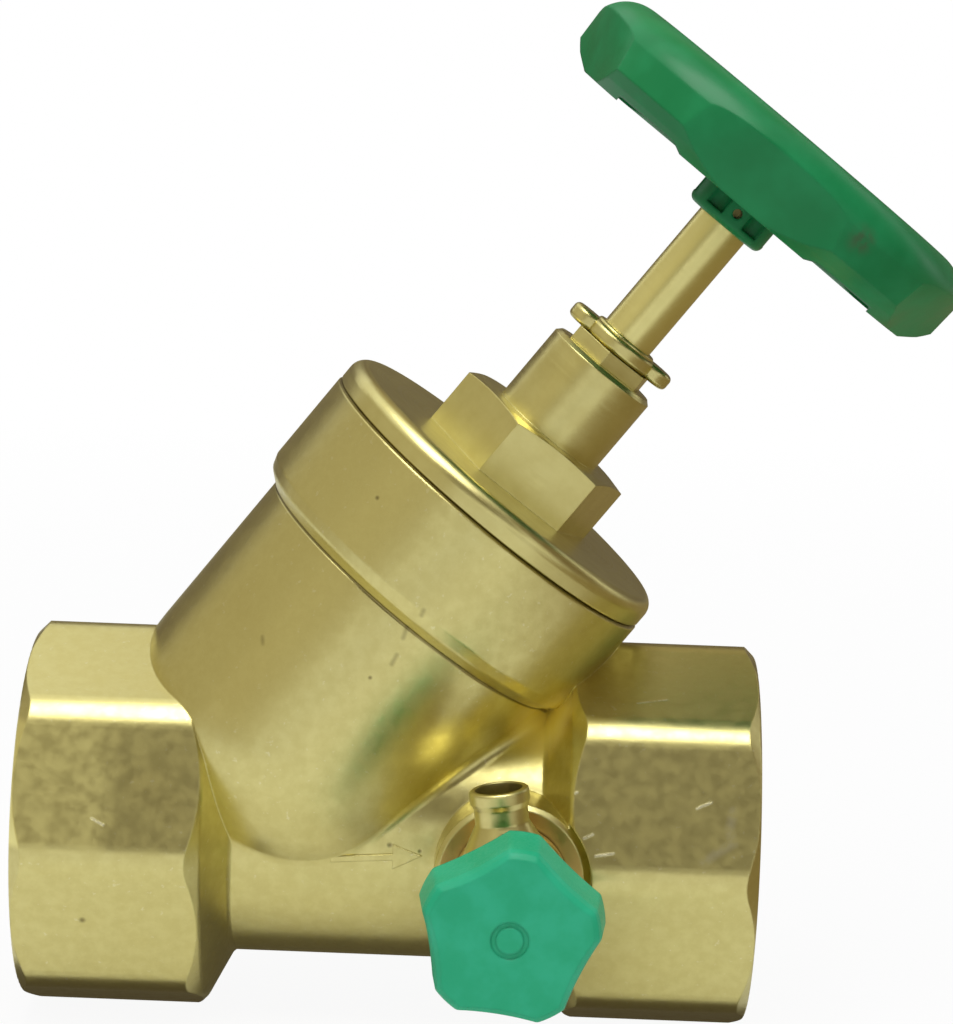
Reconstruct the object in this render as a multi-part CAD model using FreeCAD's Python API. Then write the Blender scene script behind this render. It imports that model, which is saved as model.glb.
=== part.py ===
import FreeCAD, Part
import math
import os

os.makedirs("parts", exist_ok=True)

# Isolating valve with an oblique branch, a rising stem and a small drain cock.
# Millimetres. X runs along the pipe from the inlet face, Z is up, the drain cock points to -Y.

# Pipe and ends
body_length = 150.0
octagon_across_flats = 76.2
octagon_corner_radius = 9.5
octagon_length = 38.2
end_chamfer = 3.4
end_round = 1.3
shoulder_round = 3.0
shoulder_lead = 0.6
shoulder_length = 5.4
shoulder_sink = 0.5
tube_radius = 27.6
waterway_radius = 24.0
pipe_thread_radius = 29.8
pipe_thread_length = 24.0

# Branch and collar; heights run along the branch axis from the pipe axis
branch_angle = 52.2
branch_foot = 39.3
branch_radius = 36.4
bowl_depth = 4.0
bowl_round = 30.0
collar_radius = 40.0
collar_start = 62.8
collar_slope_height = 2.4
collar_slope_round = 1.5
collar_edge = 0.8
collar_top = 88.0
branch_blend = 2.5
parting_chamfer = 0.5
chamber_radius = 29.0
chamber_floor_radius = 25.8
chamber_flare = 5.0

# Seat
seat_height = 17.2
seat_lip = 1.2
seat_hole_radius = 21.0
seat_land = 2.6
partition_thickness = 5.0

# Bonnet
bonnet_thread_radius = 33.8
bonnet_spigot_length = 16.0
bonnet_spigot_wall = 5.8
bonnet_roof = 4.0
bonnet_seal_thickness = 2.0
bonnet_seal_width = 4.0
lid_radius = 39.8
lid_thickness = 6.0
lid_round = 3.0
bonnet_hex_across = 36.0
bonnet_hex_height = 13.0
bonnet_hex_turn_angle = -111.0
hex_chamfer_slope = 0.25
hex_land = 0.4
neck_radius = 12.4
neck_height = 18.0
neck_chamfer = 0.9
stem_nut_radius = 13.0

# Gland
gland_thread_radius = 8.0
gland_shank_length = 11.0
gland_hex_across = 17.0
gland_hex_height = 3.3
gland_hex_turn_angle = -100.0
gland_top_radius = 7.2
gland_top_height = 4.0
plate_thickness = 3.4
plate_half_width = 8.6
ear_reach = 12.7
ear_radius = 4.2
ear_round = 1.1
o_ring_section = 1.8
o_ring_start = 2.0
o_ring_spacing = 5.0
o_ring_squeeze = 0.7
o_ring_rounding = 0.3
groove_play = 0.2

# Stem and disc
stem_radius = 5.8
stem_thread_radius = 8.0
stem_thread_run_out = 1.5
stem_tip_radius = 6.5
stem_drive_across = 8.0
stem_drive_length = 15.5
lift = 24.0
hub_stop_gap = 6.0
disc_radius = 25.0
disc_plate_thickness = 4.5
disc_lip = 2.0
disc_lip_wall = 1.2
disc_boss_radius = 11.0
disc_boss_height = 8.0
disc_socket_floor = 2.5
disc_seal_thickness = 4.0
disc_stud_radius = 4.0
disc_washer_radius = 11.0
disc_washer_thickness = 1.6
disc_nut_across = 13.0
disc_nut_height = 4.6
stud_end = 1.0
snap_ring_thickness = 1.6
snap_ring_groove = 1.9
snap_ring_gap = 2.4

# Handwheel
wheel_radius = 47.4
wheel_lobes = 5
wheel_lobe_foot_angle = 11.0
wheel_lobe_top_angle = 15.7
wheel_waist_radius = 41.0
wheel_flute_fade = 0.8
wheel_flute_drop = 5.2
wheel_lobe_round = 3.0
wheel_turn_angle = -130.8
wheel_skirt_wall = 4.2
wheel_height = 18.2
wheel_top_round = 9.0
wheel_turning_margin = 0.2
wheel_bottom_rise = 2.4
wheel_foot_width = 1.5
wheel_foot_rise = 1.2
wheel_bottom_round = 2.6
wheel_roof = 4.5
wheel_hub_radius = 9.2
wheel_hub_drop = 5.7
wheel_hub_round = 1.6
wheel_rib_width = 2.6
wheel_rib_height = 8.0
hub_pocket_radius = 2.3
hub_pockets = 6
hub_pocket_offset = 0.4
hub_collar = 1.9
hub_pin_hole_radius = 1.0
hub_pin_hole_height = 3.8
screw_recess_radius = 7.4
screw_recess_depth = 6.0
wheel_washer_radius = 6.6
wheel_washer_thickness = 1.4
screw_radius = 2.9
screw_head_radius = 4.6
screw_head_height = 3.2
screw_length = 14.0
screw_slot = 1.2
screw_head_round = 1.4
screw_hole_spare = 1.0

# Drain cock; heights run outwards from the pipe axis
drain_setback = 49.6
drain_drop = 1.0
drain_boss_radius = 15.5
drain_boss_height = 37.0
drain_boss_chamfer = 0.9
spot_face_margin = 0.7
drain_thread_radius = 7.0
drain_thread_length = 11.5
drain_seal_thickness = 1.0
drain_flange_radius = 11.4
drain_flange_thickness = 2.6
drain_seal_inset = 0.6
drain_barrel_radius = 9.4
drain_inlet_radius = 3.0
drain_chamber_radius = 6.5
drain_seat_depth = 1.3
drain_lift = 3.2
spout_lean = 8.0
spout_position = 9.6
spout_reach = 22.2
spout_neck_radius = 5.3
spout_lip_radius = 5.9
spout_lip_height = 2.4
spout_lip_slope = 1.2
spout_flare_radius = 7.9
spout_flare_start = 10.5
spout_flare_height = 5.0
spout_bore_radius = 4.7
drain_gland_across = 17.0
drain_gland_height = 4.0
drain_gland_shank = 3.6
drain_stem_radius = 4.0
drain_stem_tip_radius = 2.5
drain_stem_tip_grip = 2.0
drain_stem_collar_radius = 5.2
drain_stem_collar_thickness = 1.2
drain_o_ring_inset = 0.5
drain_washer_radius = 5.2
drain_washer_thickness = 2.6
plunger_radius = 5.8
plunger_socket_floor = 1.5
knob_lobes = 5
knob_radius = 18.2
knob_lobe_angle = 9.5
knob_waist_radius = 15.9
knob_lobe_round = 1.4
knob_turn_angle = 83.0
knob_depth = 12.0
knob_bevel = 2.2
knob_bevel_inset = 1.5
knob_bevel_crown = 0.35
knob_draft = 0.9
knob_gap = 3.2
knob_ring_radius = 3.6
knob_ring_width = 1.0
knob_ring_depth = 0.4
knob_socket_across = 5.6
knob_socket_depth = 8.0

# Small edges
fine_round = 0.6
edge_round = 1.0
thread_lead = 0.6
overcut = 1.0
tolerance = 0.01

# Clearances
thread_clearance = 0.05
running_clearance = 0.05
seat_clearance = 0.2
closed_gap = 0.3
drive_clearance = 0.05
loose_clearance = 0.3

# Heights along the branch axis that follow from the sizes above
seal_bottom = seat_height + closed_gap + lift
disc_bottom = seal_bottom + disc_seal_thickness
disc_plate_top = disc_bottom + disc_plate_thickness
disc_top = disc_plate_top + disc_boss_height
stem_shoulder = disc_top + seat_clearance
stem_nut_bottom = stem_shoulder + stem_thread_run_out
spigot_bottom = collar_top - bonnet_spigot_length
lid_top = collar_top + lid_thickness
hex_top = lid_top + bonnet_hex_height
neck_top = hex_top + neck_height
gland_bottom = neck_top - gland_shank_length
stem_thread_top = gland_bottom - stem_thread_run_out
stem_nut_top = stem_thread_top - lift
gland_plate_seat = neck_top + gland_hex_height
wheel_gap = lift + hub_stop_gap
hub_bottom = gland_plate_seat + gland_top_height + wheel_gap
wheel_bottom = hub_bottom + wheel_hub_drop
wheel_top = wheel_bottom + wheel_height
screw_floor = wheel_top - screw_recess_depth
drive_top = screw_floor - loose_clearance
drive_bottom = drive_top - stem_drive_length

# Place of the drain cock, and heights along its axis, that follow from the sizes above
drain_position = body_length - drain_setback
drain_shoulder = drain_boss_height + drain_seal_thickness
drain_barrel_start = drain_shoulder + drain_flange_thickness
drain_seat = drain_barrel_start + drain_seat_depth
drain_washer_face = drain_seat + seat_clearance
plunger_bottom = drain_washer_face + drain_washer_thickness
plunger_socket = plunger_bottom + plunger_socket_floor
drain_tip_bottom = plunger_socket + drain_lift + seat_clearance
plunger_top = drain_tip_bottom + drain_stem_tip_grip
drain_collar_bottom = plunger_top + drain_lift + seat_clearance
drain_collar_top = drain_collar_bottom + drain_stem_collar_thickness
drain_gland_bottom = drain_collar_top + loose_clearance
drain_barrel_end = drain_gland_bottom + drain_gland_shank
drain_gland_end = drain_barrel_end + drain_gland_height
knob_back = drain_gland_end + knob_gap
knob_front = knob_back + knob_depth
spout_height = drain_barrel_start + spout_position


def point(x, y, z):
    return FreeCAD.Vector(x, y, z)


AXIS = point(0, 0, 1)


def rounded_outline(corners, place):
    """Closed wire through corners (u, v, rounding); an arc takes the place of each rounded corner."""
    count = len(corners)
    runs = []
    for index in range(count):
        u, v, rounding = corners[index]
        here = FreeCAD.Vector(u, v, 0)
        before = FreeCAD.Vector(corners[index - 1][0], corners[index - 1][1], 0) - here
        after = FreeCAD.Vector(corners[(index + 1) % count][0], corners[(index + 1) % count][1], 0) - here
        if rounding <= 0:
            runs.append((here, None, here))
            continue
        before.normalize()
        after.normalize()
        half = before.getAngle(after) / 2
        reach = rounding / math.tan(half)
        middle = before + after
        middle.normalize()
        crown = here + middle * (rounding / math.sin(half) - rounding)
        runs.append((here + before * reach, crown, here + after * reach))
    edges = []
    for index in range(count):
        start, crown, end = runs[index]
        if crown is not None:
            edges.append(Part.Arc(place(start), place(crown), place(end)).toShape())
        following = runs[(index + 1) % count][0]
        if (following - end).Length > tolerance:
            edges.append(Part.makeLine(place(end), place(following)))
    return Part.Wire(edges)


def turned(corners):
    """Solid of revolution about Z; corners are (radius, height) with an optional rounding."""
    full = [(corner + (0,))[:3] for corner in corners]
    wire = rounded_outline(full, lambda p: point(p.x, 0, p.y))
    return Part.Face(wire).revolve(point(0, 0, 0), AXIS, 360)


def prism(corners, bottom, top):
    """Straight prism over a rounded outline in the XY plane."""
    wire = rounded_outline(corners, lambda p: point(p.x, p.y, bottom))
    return Part.Face(wire).extrude(point(0, 0, top - bottom))


def ring(inner, outer, bottom, top):
    return turned([(inner, bottom), (outer, bottom), (outer, top), (inner, top)])


def rod(radius, bottom, top):
    return Part.makeCylinder(radius, top - bottom, point(0, 0, bottom))


def polygon_corners(sides, across_flats, turn=0.0, rounding=0.0):
    reach = across_flats / 2 / math.cos(math.pi / sides)
    corners = []
    for index in range(sides):
        angle = math.radians(turn + 360.0 * index / sides)
        corners.append((reach * math.cos(angle), reach * math.sin(angle), rounding))
    return corners


def hex_block(across_flats, bottom, top, turn):
    """Hexagon whose top corners are turned off to a cone."""
    block = prism(polygon_corners(6, across_flats, turn), bottom, top)
    reach = across_flats / 2 / math.cos(math.pi / 6)
    flat = across_flats / 2 - hex_land
    drop = (reach - flat) * hex_chamfer_slope
    turning = turned([(0, bottom), (reach, bottom), (reach, top - drop), (flat, top), (0, top)])
    return block.common(turning)


def lobed_outline(lobes, reach, lobe_angle, waist, rounding, turn, height):
    """Wire of blunt lobes joined by shallow hollows; one small arc rounds each change from lobe to hollow."""
    half_step = math.pi / lobes
    chord = reach * math.cos(half_step - math.radians(lobe_angle)) - waist
    hollow_offset = (reach ** 2 - waist ** 2) / (2 * chord)
    hollow_radius = abs(hollow_offset - waist)
    round_offset = reach - rounding
    span = hollow_radius + math.copysign(rounding, chord)
    cosine = (round_offset ** 2 + hollow_offset ** 2 - span ** 2) / (2 * hollow_offset * round_offset)
    round_angle = math.acos(cosine)

    def at(radius, angle):
        return point(radius * math.cos(angle), radius * math.sin(angle), height)

    def rounded_change(hollow_angle, side):
        """Points on the hollow, in the middle and on the lobe of the small arc at one end of a hollow."""
        direction = hollow_angle + side * round_angle
        centre = at(round_offset, direction)
        hollow_centre = at(hollow_offset, hollow_angle)
        outwards = centre - hollow_centre
        outwards.normalize()
        on_hollow = hollow_centre + outwards * hollow_radius
        on_lobe = at(reach, direction)
        middle = (on_hollow + on_lobe) / 2 - centre
        middle.normalize()
        return on_hollow, centre + middle * rounding, on_lobe

    edges = []
    for index in range(lobes):
        lobe_middle = math.radians(turn) + 2 * half_step * index
        before = rounded_change(lobe_middle - half_step, 1)
        after = rounded_change(lobe_middle + half_step, -1)
        following = rounded_change(lobe_middle + half_step, 1)
        edges.append(Part.Arc(*before).toShape())
        edges.append(Part.Arc(before[2], at(reach, lobe_middle), after[2]).toShape())
        edges.append(Part.Arc(*reversed(after)).toShape())
        edges.append(Part.Arc(after[0], at(waist, lobe_middle + half_step), following[0]).toShape())
    return Part.Wire(edges)


def lobed_wheel(inset, bottom, top):
    """Fluted block of the handwheel, moved inwards by inset; its flutes fade out below the top."""
    reach = wheel_radius - inset
    flute_top = wheel_top - wheel_flute_drop
    levels = [
        (bottom, wheel_lobe_foot_angle, wheel_waist_radius - inset),
        (flute_top, wheel_lobe_top_angle, reach - wheel_flute_fade),
        (top, wheel_lobe_top_angle, reach - wheel_flute_fade),
    ]
    wires = []
    for height, lobe_angle, waist in levels:
        wires.append(lobed_outline(wheel_lobes, reach, lobe_angle, waist, wheel_lobe_round,
                                   wheel_turn_angle, height))
    return Part.makeLoft(wires, True, True)


def around(shape, count, turn=0.0):
    """Copies of a shape spaced evenly about Z, joined as one compound."""
    copies = []
    for index in range(count):
        copy = shape.copy()
        copy.rotate(point(0, 0, 0), AXIS, turn + 360.0 * index / count)
        copies.append(copy)
    return Part.makeCompound(copies)


def on_pipe(shape):
    shape.rotate(point(0, 0, 0), point(0, 1, 0), 90)
    return shape


def on_branch(shape):
    shape.rotate(point(0, 0, 0), point(0, 1, 0), 90 - branch_angle)
    shape.translate(point(branch_foot, 0, 0))
    return shape


def on_drain(shape):
    shape.rotate(point(0, 0, 0), point(1, 0, 0), 90)
    shape.translate(point(drain_position, 0, -drain_drop))
    return shape


def slab(bottom, top):
    """Wide slab across the branch axis, used to end the waterways at the sloping partition."""
    size = 3 * body_length
    box = Part.makeBox(size, size, top - bottom, point(-size / 2, -size / 2, bottom))
    return on_branch(box)


def pipe_outside():
    """Octagonal ends and round tube: one turned bar cut to an octagon."""
    reach = octagon_across_flats / 2 / math.cos(math.pi / 8)
    flat = octagon_across_flats / 2
    inner = octagon_length + shoulder_length
    corners = [
        (0, 0),
        (reach - end_chamfer, 0, end_round),
        (reach, end_chamfer, end_round),
        (reach, octagon_length - reach + flat - shoulder_lead, shoulder_round),
        (flat - shoulder_lead, octagon_length, shoulder_round),
        (tube_radius - shoulder_sink, inner, shoulder_round),
    ]
    far = [(corner[0], body_length - corner[1]) + tuple(corner[2:]) for corner in reversed(corners)]
    bar = turned(corners + far)
    octagon = prism(polygon_corners(8, octagon_across_flats, 0, octagon_corner_radius), 0, body_length)
    return on_pipe(bar.common(octagon))


def trunk():
    """Round tube with the bowl-footed branch growing out of it through a smooth blend."""
    tube = on_pipe(rod(tube_radius, end_chamfer, body_length - end_chamfer))
    branch = on_branch(turned([
        (0, -bowl_depth),
        (branch_radius, -bowl_depth, bowl_round),
        (branch_radius, collar_top - overcut),
        (0, collar_top - overcut),
    ]))
    solid = tube.fuse(branch)
    joint = []
    for edge in solid.Edges:
        low, high = edge.ParameterRange
        place = edge.valueAt((low + high) / 2)
        on_tube = abs(math.hypot(place.y, place.z) - tube_radius) < tolerance
        on_both = on_tube and branch.distToShape(Part.Vertex(place))[0] < tolerance
        if on_both:
            joint.append(edge)
    return solid.makeFillet(branch_blend, joint)


def collar():
    """Thick collar at the top of the branch that carries the bonnet."""
    slope_top = collar_start + collar_slope_height
    return on_branch(turned([
        (0, collar_start),
        (branch_radius, collar_start, edge_round),
        (collar_radius - collar_edge, slope_top, collar_slope_round),
        (collar_radius, slope_top + collar_slope_height, collar_slope_round),
        (collar_radius, collar_top - parting_chamfer),
        (collar_radius - parting_chamfer, collar_top),
        (0, collar_top),
    ]))


def valve_body():
    """Body with threaded ends, sloping partition, seat and drain boss."""
    boss = on_drain(rod(drain_boss_radius, tube_radius / 2, drain_boss_height))
    solid = trunk().fuse([pipe_outside(), collar(), boss])
    solid = solid.cut(on_drain(spot_face()))
    for space in (inlet_space(), outlet_space(), chamber_space(), drain_space()):
        solid = solid.cut(space)
    return solid


def spot_face():
    """Cutter that faces the drain boss, breaks its rim and clears the octagon beside it."""
    rim = drain_boss_radius + spot_face_margin
    return turned([
        (0, drain_boss_height),
        (drain_boss_radius - drain_boss_chamfer, drain_boss_height),
        (rim, drain_boss_height - drain_boss_chamfer - spot_face_margin),
        (rim, drain_boss_height + octagon_across_flats),
        (0, drain_boss_height + octagon_across_flats),
    ])


def thread_bore():
    """Straight part of a pipe socket, which holds the pipe thread."""
    return rod(pipe_thread_radius, -overcut, pipe_thread_length)


def socket_cone():
    """Cone that leads from a pipe socket into the waterway."""
    cone_length = pipe_thread_radius - waterway_radius
    return turned([
        (0, pipe_thread_length),
        (pipe_thread_radius, pipe_thread_length),
        (waterway_radius, pipe_thread_length + cone_length),
        (0, pipe_thread_length + cone_length),
    ])


def seat_floor():
    return seat_height - seat_lip


def inlet_space():
    """Inlet socket and waterway up to the underside of the partition, and the seat hole."""
    bottom = seat_floor() - partition_thickness
    space = on_pipe(rod(waterway_radius, pipe_thread_length, body_length - octagon_length))
    space = space.fuse(on_pipe(socket_cone()))
    space = space.common(slab(-body_length, bottom)).fuse(on_pipe(thread_bore()))
    return space.fuse(on_branch(rod(seat_hole_radius, bottom - overcut, seat_height + overcut)))


def outlet_space():
    """Outlet socket and waterway down to the upper side of the partition."""
    space = on_pipe(rod(waterway_radius, octagon_length / 2, body_length - pipe_thread_length))
    space = space.common(slab(seat_floor(), 2 * body_length))
    socket = thread_bore().fuse(socket_cone()).mirror(point(0, 0, body_length / 2), AXIS)
    return space.fuse(on_pipe(socket))


def chamber_space():
    """Chamber round the disc with the raised seat at its foot and the bonnet thread at its top."""
    ledge = spigot_bottom - bonnet_seal_thickness
    thread = bonnet_thread_radius + thread_clearance
    return on_branch(turned([
        (0, seat_height),
        (seat_hole_radius + seat_land, seat_height),
        (seat_hole_radius + seat_land, seat_floor()),
        (chamber_floor_radius, seat_floor()),
        (chamber_radius, seat_floor() + chamber_flare),
        (chamber_radius, ledge),
        (thread, ledge),
        (thread, collar_top + overcut),
        (0, collar_top + overcut),
    ]))


def drain_space():
    thread = drain_thread_radius + thread_clearance
    return on_drain(rod(thread, waterway_radius / 2, drain_boss_height + overcut))


def bonnet():
    """Screwed head: lid, threaded spigot, stem nut, hexagon and neck in one piece."""
    solid = turned([
        (0, stem_nut_bottom),
        (stem_nut_radius, stem_nut_bottom, edge_round),
        (stem_nut_radius, collar_top - bonnet_roof),
        (bonnet_thread_radius - bonnet_spigot_wall, collar_top - bonnet_roof),
        (bonnet_thread_radius - bonnet_spigot_wall, spigot_bottom),
        (bonnet_thread_radius, spigot_bottom),
        (bonnet_thread_radius, collar_top),
        (lid_radius - parting_chamfer, collar_top),
        (lid_radius, collar_top + parting_chamfer),
        (lid_radius, lid_top, lid_round),
        (neck_radius, lid_top),
        (neck_radius, neck_top - neck_chamfer),
        (neck_radius - neck_chamfer, neck_top),
        (0, neck_top),
    ])
    solid = solid.fuse(hex_block(bonnet_hex_across, lid_top - overcut, hex_top, bonnet_hex_turn_angle))
    solid = solid.cut(rod(stem_thread_radius + running_clearance, 0, stem_nut_top))
    relief = stem_thread_radius + 2 * loose_clearance
    solid = solid.cut(rod(relief, stem_nut_top, gland_bottom - loose_clearance))
    gland_bore = gland_thread_radius + thread_clearance
    gland_floor = gland_bottom - 2 * loose_clearance
    solid = solid.cut(turned([
        (0, gland_floor),
        (gland_bore, gland_floor),
        (gland_bore, neck_top - thread_lead),
        (gland_bore + thread_lead, neck_top),
        (gland_bore + thread_lead, neck_top + overcut),
        (0, neck_top + overcut),
    ]))
    return on_branch(solid.removeSplitter())


def bonnet_seal():
    bottom = spigot_bottom - bonnet_seal_thickness
    outer = bonnet_thread_radius - loose_clearance
    return on_branch(ring(outer - bonnet_seal_width, outer, bottom, spigot_bottom))


def o_ring_heights():
    """Heights of the two stem seals inside the gland shank."""
    first = gland_bottom + o_ring_start
    return first, first + o_ring_spacing


def gland_nut():
    """Hollow nut with a threaded shank and two grooves for the stem seals."""
    solid = turned([
        (0, gland_bottom),
        (gland_thread_radius - thread_lead, gland_bottom),
        (gland_thread_radius, gland_bottom + thread_lead),
        (gland_thread_radius, neck_top),
        (gland_top_radius, neck_top),
        (gland_top_radius, gland_plate_seat + gland_top_height, fine_round),
        (0, gland_plate_seat + gland_top_height),
    ])
    hexagon = polygon_corners(6, gland_hex_across, gland_hex_turn_angle)
    solid = solid.fuse(prism(hexagon, neck_top, gland_plate_seat))
    solid = solid.cut(rod(stem_radius + running_clearance, 0, 2 * neck_top))
    for height in o_ring_heights():
        groove = stem_radius + o_ring_squeeze * o_ring_section
        solid = solid.cut(rod(groove, height - groove_play, height + o_ring_section + groove_play))
    return on_branch(solid)


def o_ring(shaft_radius, height):
    """Seal ring squeezed between a shaft and the groove round it."""
    inner = shaft_radius + running_clearance
    outer = shaft_radius + o_ring_squeeze * o_ring_section
    rounding = o_ring_rounding * o_ring_section
    return turned([
        (inner, height, rounding),
        (outer, height, rounding),
        (outer, height + o_ring_section, rounding),
        (inner, height + o_ring_section, rounding),
    ])


def stem_o_ring(height):
    return on_branch(o_ring(stem_radius, height))


def gland_plate():
    """Locking plate on the gland nut with one rounded ear to each side."""
    bottom = gland_plate_seat
    top = bottom + plate_thickness
    middle = rod(plate_half_width, bottom, top)
    for side in (-1, 1):
        centre = point(side * (ear_reach - ear_radius), 0, bottom)
        middle = middle.fuse(Part.makeCylinder(ear_radius, plate_thickness, centre))
    solid = middle.removeSplitter()
    rims = [edge for edge in solid.Edges if abs(edge.tangentAt(edge.FirstParameter).z) < tolerance]
    solid = solid.makeFillet(ear_round, rims)
    return on_branch(solid.cut(rod(gland_top_radius + thread_clearance, 0, 2 * top)))


def stem():
    """Rising stem: captive tip, screw part, smooth part and square drive for the handwheel."""
    groove_bottom = snap_ring_bottom() - loose_clearance
    groove_top = snap_ring_bottom() + snap_ring_thickness + loose_clearance
    tip_bottom = disc_bottom + disc_socket_floor + seat_clearance
    solid = turned([
        (0, tip_bottom),
        (stem_tip_radius, tip_bottom, fine_round),
        (stem_tip_radius, groove_bottom),
        (stem_tip_radius - snap_ring_groove, groove_bottom),
        (stem_tip_radius - snap_ring_groove, groove_top),
        (stem_tip_radius, groove_top),
        (stem_tip_radius, stem_shoulder),
        (stem_thread_radius, stem_shoulder),
        (stem_thread_radius, stem_thread_top, fine_round),
        (stem_radius, stem_thread_top),
        (stem_radius, drive_bottom),
        (0, drive_bottom),
    ])
    drive = prism(polygon_corners(4, stem_drive_across, 45), drive_bottom - overcut, drive_top)
    solid = solid.fuse(drive.common(rod(stem_radius, drive_bottom - overcut, drive_top)))
    hole_bottom = screw_floor + wheel_washer_thickness - screw_length - screw_hole_spare
    solid = solid.cut(rod(screw_radius + thread_clearance, hole_bottom, 2 * drive_top))
    return on_branch(solid)


def snap_ring_bottom():
    return disc_plate_top + disc_boss_height / 2 - snap_ring_thickness / 2


def disc():
    """Closing disc with a lip round its seal, a socket for the stem and a stud for the seal's nut."""
    stud_bottom = seal_bottom - disc_washer_thickness - disc_nut_height - stud_end
    solid = turned([
        (0, stud_bottom),
        (disc_stud_radius, stud_bottom, fine_round),
        (disc_stud_radius, disc_bottom),
        (disc_radius - disc_lip_wall, disc_bottom),
        (disc_radius - disc_lip_wall, disc_bottom - disc_lip),
        (disc_radius, disc_bottom - disc_lip),
        (disc_radius, disc_plate_top, edge_round),
        (disc_boss_radius, disc_plate_top, edge_round),
        (disc_boss_radius, disc_top, fine_round),
        (0, disc_top),
    ])
    socket = stem_tip_radius + running_clearance
    solid = solid.cut(rod(socket, disc_bottom + disc_socket_floor, disc_top + overcut))
    groove = snap_ring_bottom()
    solid = solid.cut(rod(socket + snap_ring_groove, groove, groove + snap_ring_thickness))
    return on_branch(solid)


def snap_ring():
    """Split ring that keeps the stem tip in the disc."""
    bottom = snap_ring_bottom()
    inner = stem_tip_radius - snap_ring_groove + loose_clearance
    outer = stem_tip_radius + running_clearance + snap_ring_groove
    solid = ring(inner, outer, bottom, bottom + snap_ring_thickness)
    gap = Part.makeBox(2 * outer, snap_ring_gap, snap_ring_thickness, point(0, -snap_ring_gap / 2, bottom))
    return on_branch(solid.cut(gap))


def disc_seal():
    outer = disc_radius - disc_lip_wall - thread_clearance
    return on_branch(ring(disc_stud_radius + thread_clearance, outer, seal_bottom, disc_bottom))


def disc_washer():
    bottom = seal_bottom - disc_washer_thickness
    return on_branch(ring(disc_stud_radius + thread_clearance, disc_washer_radius, bottom, seal_bottom))


def disc_nut():
    top = seal_bottom - disc_washer_thickness
    block = hex_block(disc_nut_across, 0, disc_nut_height, 0)
    block.rotate(point(0, 0, 0), point(1, 0, 0), 180)
    block.translate(point(0, 0, top))
    return on_branch(block.cut(rod(disc_stud_radius + thread_clearance, 0, 2 * top)))


def handwheel():
    """Lobed wheel with a flat top, a hollow underside, ribs and a pocketed hub."""
    roof = wheel_top - wheel_roof
    solid = lobed_wheel(0, wheel_bottom - overcut, wheel_top + overcut).common(wheel_turning())
    hollow = lobed_wheel(wheel_skirt_wall, wheel_bottom - overcut, wheel_top).common(wheel_hollow(roof))
    solid = solid.cut(hollow)
    rib_reach = wheel_waist_radius - wheel_skirt_wall / 2
    rib = Part.makeBox(rib_reach, wheel_rib_width, wheel_rib_height + overcut,
                       point(0, -wheel_rib_width / 2, roof - wheel_rib_height))
    ribs = around(rib, wheel_lobes, wheel_turn_angle + 180.0 / wheel_lobes)
    for index in range(wheel_lobes):
        solid = solid.fuse(ribs.Solids[index])
    solid = solid.fuse(wheel_hub(roof + overcut))
    drive = stem_drive_across + 2 * drive_clearance
    solid = solid.cut(prism(polygon_corners(4, drive, 45), hub_bottom, wheel_top))
    bore = stem_radius + drive_clearance
    solid = solid.cut(rod(bore, hub_bottom - overcut, drive_bottom + drive_clearance))
    solid = solid.cut(rod(screw_recess_radius, screw_floor, wheel_top + overcut))
    return on_branch(solid)


def wheel_turning():
    """Turned shape of the wheel: flat top, broad top rounding and an underside that rises outwards."""
    foot = wheel_bottom + wheel_bottom_rise
    rim = wheel_radius + wheel_turning_margin
    return turned([
        (0, wheel_bottom + wheel_foot_rise),
        (wheel_waist_radius - wheel_skirt_wall, wheel_bottom + wheel_foot_rise),
        (wheel_waist_radius - wheel_foot_width, wheel_bottom),
        (wheel_waist_radius + wheel_foot_width / 2, wheel_bottom),
        (rim - wheel_bottom_round, foot, edge_round),
        (rim, foot + wheel_bottom_round, edge_round),
        (rim, wheel_top, wheel_top_round),
        (0, wheel_top),
    ])


def wheel_hollow(roof):
    """Turned limit of the hollow underside, which follows the wheel's rounded top."""
    wall = wheel_radius - wheel_skirt_wall + wheel_turning_margin
    return turned([
        (0, wheel_bottom - overcut),
        (wall, wheel_bottom - overcut),
        (wall, wheel_top - wheel_top_round - wheel_roof / 2),
        (wall - wheel_top_round / 2, roof),
        (0, roof),
    ])


def wheel_hub(top):
    """Hub with upright pockets above a plain collar and one pin hole."""
    hub = turned([
        (0, hub_bottom),
        (wheel_hub_radius, hub_bottom, wheel_hub_round),
        (wheel_hub_radius, top),
        (0, top),
    ])
    pocket_bottom = hub_bottom + hub_collar
    pocket = Part.makeCylinder(hub_pocket_radius, top - pocket_bottom,
                               point(wheel_hub_radius + hub_pocket_offset, 0, pocket_bottom))
    hub = hub.cut(around(pocket, hub_pockets, -90.0 + 180.0 / hub_pockets))
    pin_hole = Part.makeCylinder(hub_pin_hole_radius, wheel_hub_radius + overcut,
                                 point(0, 0, hub_bottom + hub_pin_hole_height), point(0, -1, 0))
    return hub.cut(pin_hole)


def handwheel_washer():
    return on_branch(ring(screw_radius + loose_clearance, wheel_washer_radius, screw_floor,
                          screw_floor + wheel_washer_thickness))


def handwheel_screw():
    seat = screw_floor + wheel_washer_thickness
    solid = turned([
        (0, seat - screw_length),
        (screw_radius, seat - screw_length, fine_round),
        (screw_radius, seat),
        (screw_head_radius, seat),
        (screw_head_radius, seat + screw_head_height, screw_head_round),
        (0, seat + screw_head_height),
    ])
    slot = Part.makeBox(4 * screw_head_radius, screw_slot, screw_head_height,
                        point(-2 * screw_head_radius, -screw_slot / 2, seat + screw_head_height / 2))
    return on_branch(solid.cut(slot))


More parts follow.
